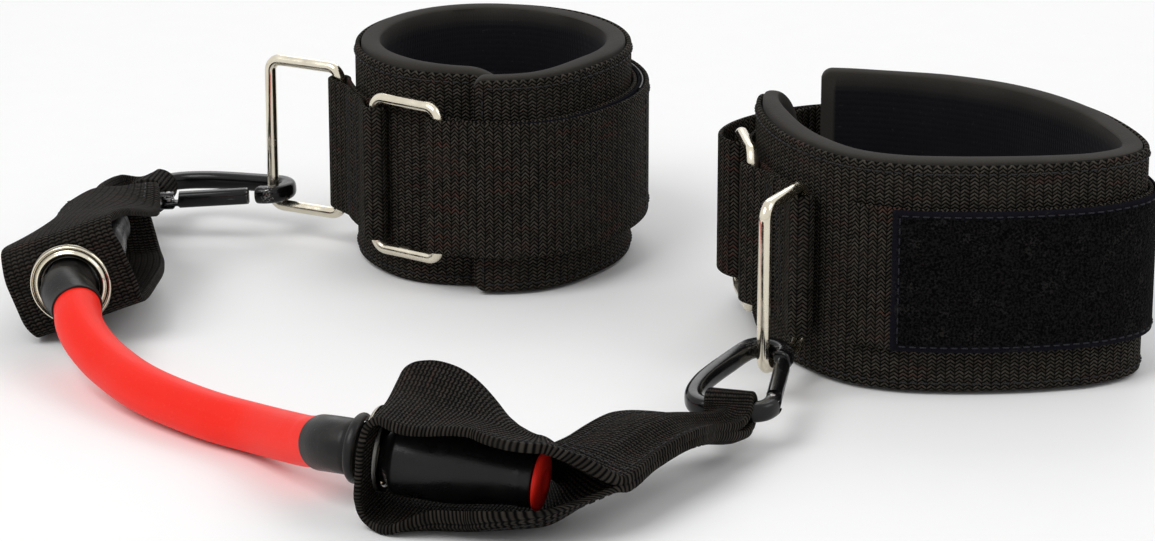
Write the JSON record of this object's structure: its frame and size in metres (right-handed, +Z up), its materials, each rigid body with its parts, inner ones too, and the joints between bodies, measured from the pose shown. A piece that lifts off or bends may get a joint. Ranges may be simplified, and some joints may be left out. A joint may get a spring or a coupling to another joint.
{
  "type": "lateral resistance band",
  "caption": "Hollow rubber tube between two padded ankle cuffs, held at its ends in webbing pockets that snap hooks clip to the cuffs' rings.",
  "frame": {"origin": "on the floor, under the middle of the set's bounding box without the free tube", "axes": "+Z up along the cuffs' height; +X from the closed round cuff (left) to the wide one (right), along the longest extent; -Y towards the camera"},
  "size_m": [0.3902, 0.3586, 0.08],
  "materials": {
    "foam_lining": "dark neoprene foam with a smooth knitted lining",
    "band_webbing": "coarse black polypropylene webbing",
    "strap_webbing": "black herringbone webbing",
    "loop_pile": "fuzzy loop pile",
    "hook_tape": "stiff hook tape",
    "nickel_wire": "bright nickel plate",
    "pin_steel": "plain steel",
    "black_enamel": "gloss black enamel on metal",
    "black_rubber": "semi-gloss moulded rubber",
    "red_latex": "satin latex",
    "plug_plastic": "moulded plastic"
  },
  "bodies": {
    "tube": {"resistance_tube": "red_latex", "tube_end_left": "red_latex", "tube_sleeve_left": "black_rubber", "tube_plug_left": "plug_plastic", "bumper_ring_left": "black_rubber", "tube_end_right": "red_latex", "tube_sleeve_right": "black_rubber", "tube_plug_right": "plug_plastic", "bumper_ring_right": "black_rubber"},
    "pocket_left": {"pocket_webbing_left": "strap_webbing", "grommet_left": "nickel_wire", "grommet_washer_left": "nickel_wire"},
    "hook_left": {"snap_frame_left": "black_enamel", "gate_pin_left": "pin_steel"},
    "gate_left": {"snap_gate_left": "black_enamel", "gate_spring_left": "pin_steel"},
    "ring_left": {"load_ring_left": "nickel_wire"},
    "cuff_left": {"cuff_pad_left": "foam_lining", "cuff_webbing_left": "band_webbing", "load_keeper_left": "strap_webbing", "cinch_keeper_left": "strap_webbing", "strap_base_left": "strap_webbing", "loop_patch_left": "loop_pile"},
    "cinch_left": {"cinch_ring_left": "nickel_wire"},
    "flap_left": {"closure_strap_left": "strap_webbing", "hook_patch_left": "hook_tape"},
    "pocket_right": {"pocket_webbing_right": "strap_webbing", "grommet_right": "nickel_wire", "grommet_washer_right": "nickel_wire"},
    "hook_right": {"snap_frame_right": "black_enamel", "gate_pin_right": "pin_steel"},
    "gate_right": {"snap_gate_right": "black_enamel", "gate_spring_right": "pin_steel"},
    "ring_right": {"load_ring_right": "nickel_wire"},
    "cuff_right": {"cuff_pad_right": "foam_lining", "cuff_webbing_right": "band_webbing", "load_keeper_right": "strap_webbing", "cinch_keeper_right": "strap_webbing", "strap_base_right": "strap_webbing", "loop_patch_right": "loop_pile"},
    "cinch_right": {"cinch_ring_right": "nickel_wire"},
    "flap_right": {"closure_strap_right": "strap_webbing", "hook_patch_right": "hook_tape"}
  },
  "joints": [
    {"name": "swivel_left", "type": "hinge", "parent": "tube", "child": "pocket_left", "pos_m": [-0.1695, 0.0099, 0.0226], "axis": [0.0698, 0.9976, 0], "continuous": true},
    {"name": "hook_hinge_left", "type": "hinge", "parent": "pocket_left", "child": "hook_left", "pos_m": [-0.15452, 0.14288, 0.015], "axis": [0.1392, 0.9903, 0], "range_deg": [-25, 25]},
    {"name": "gate_hinge_left", "type": "hinge", "parent": "hook_left", "child": "gate_left", "pos_m": [-0.14829, 0.12988, 0.01551], "axis": [-0.0629, 0.0088, 0.998], "range_deg": [0, 18], "stiffness_Nm_per_rad": 0.05, "springref_deg": -17.19},
    {"name": "ring_hinge_left", "type": "hinge", "parent": "hook_left", "child": "ring_left", "pos_m": [-0.11015, 0.13664, 0.04], "axis": [0, 0, 1], "range_deg": [-20, 40]},
    {"name": "cuff_hinge_left", "type": "hinge", "parent": "ring_left", "child": "cuff_left", "pos_m": [-0.084, 0.12299, 0.04], "axis": [0, 0, 1], "range_deg": [-15, 30]},
    {"name": "cinch_hinge_left", "type": "hinge", "parent": "cuff_left", "child": "cinch_left", "pos_m": [-0.06946, 0.08436, 0.04], "axis": [0, 0, -1], "range_deg": [0, 10]},
    {"name": "flap_hinge_left", "type": "hinge", "parent": "cinch_left", "child": "flap_left", "pos_m": [-0.04658, 0.06822, 0.04], "axis": [0, 0, -1], "range_deg": [0, 45]},
    {"name": "swivel_right", "type": "hinge", "parent": "tube", "child": "pocket_right", "pos_m": [-0.0575, -0.1431, 0.019], "axis": [0.9583, -0.2748, -0.0785], "continuous": true},
    {"name": "hook_hinge_right", "type": "hinge", "parent": "pocket_right", "child": "hook_right", "pos_m": [0.05068, -0.09243, 0.014], "axis": [-0.9613, 0.2756, 0], "range_deg": [-25, 25]},
    {"name": "gate_hinge_right", "type": "hinge", "parent": "hook_right", "child": "gate_right", "pos_m": [0.06441, -0.08808, 0.01469], "axis": [-0.0236, -0.0824, 0.9963], "range_deg": [0, 18], "stiffness_Nm_per_rad": 0.05, "springref_deg": -17.19},
    {"name": "ring_hinge_right", "type": "hinge", "parent": "hook_right", "child": "ring_right", "pos_m": [0.06301, -0.04943, 0.04], "axis": [0, 0, 1], "range_deg": [-40, 25]},
    {"name": "cuff_hinge_right", "type": "hinge", "parent": "ring_right", "child": "cuff_right", "pos_m": [0.07648, -0.02319, 0.04], "axis": [0, 0, 1], "range_deg": [-30, 20]},
    {"name": "cinch_hinge_right", "type": "hinge", "parent": "cuff_right", "child": "cinch_right", "pos_m": [0.0616, 0.01364, 0.04], "axis": [0, 0, 1], "range_deg": [0, 10]},
    {"name": "flap_hinge_right", "type": "hinge", "parent": "cinch_right", "child": "flap_right", "pos_m": [0.05845, 0.04146, 0.04], "axis": [0, 0, 1], "range_deg": [0, 45]}
  ]
}
